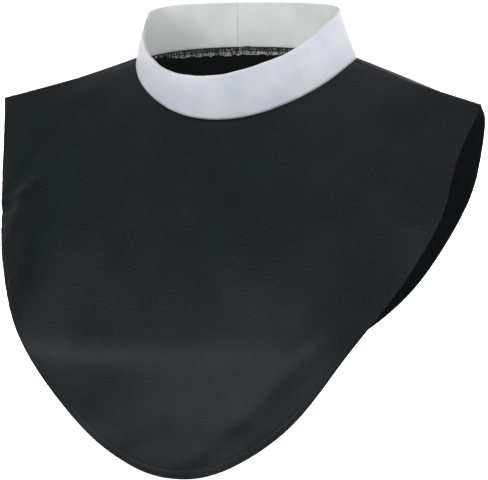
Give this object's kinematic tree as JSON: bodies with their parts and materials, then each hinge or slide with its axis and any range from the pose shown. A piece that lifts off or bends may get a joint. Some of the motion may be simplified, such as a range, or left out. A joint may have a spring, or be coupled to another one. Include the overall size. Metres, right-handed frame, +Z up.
{
  "type": "clerical rabat vest",
  "caption": "Short black satin clerical vest front with a shorter back panel and a white stand-up collar band, draped as worn, with open sides and hem.",
  "frame": {"origin": "middle of the neck seam, level with the inner ends of the shoulder seams, where the garment rests on the wearer's neck and shoulders", "axes": "+X to the wearer's left, +Y to the back, +Z up; the front of the vest faces -Y"},
  "size_m": [0.414, 0.2243, 0.3662],
  "materials": {
    "black_satin": "smooth satin with a soft sheen",
    "white_satin": "smooth white satin, stiffened",
    "white_lining": "matt white poplin",
    "overlocked_edge": "raw white cloth under black overlock thread"
  },
  "bodies": {
    "root": {"front_panel": "black_satin", "back_panel": "black_satin", "collar_outer": "white_satin", "collar_lining": "white_lining", "neck_seam_allowance": "overlocked_edge"}
  },
  "joints": []
}
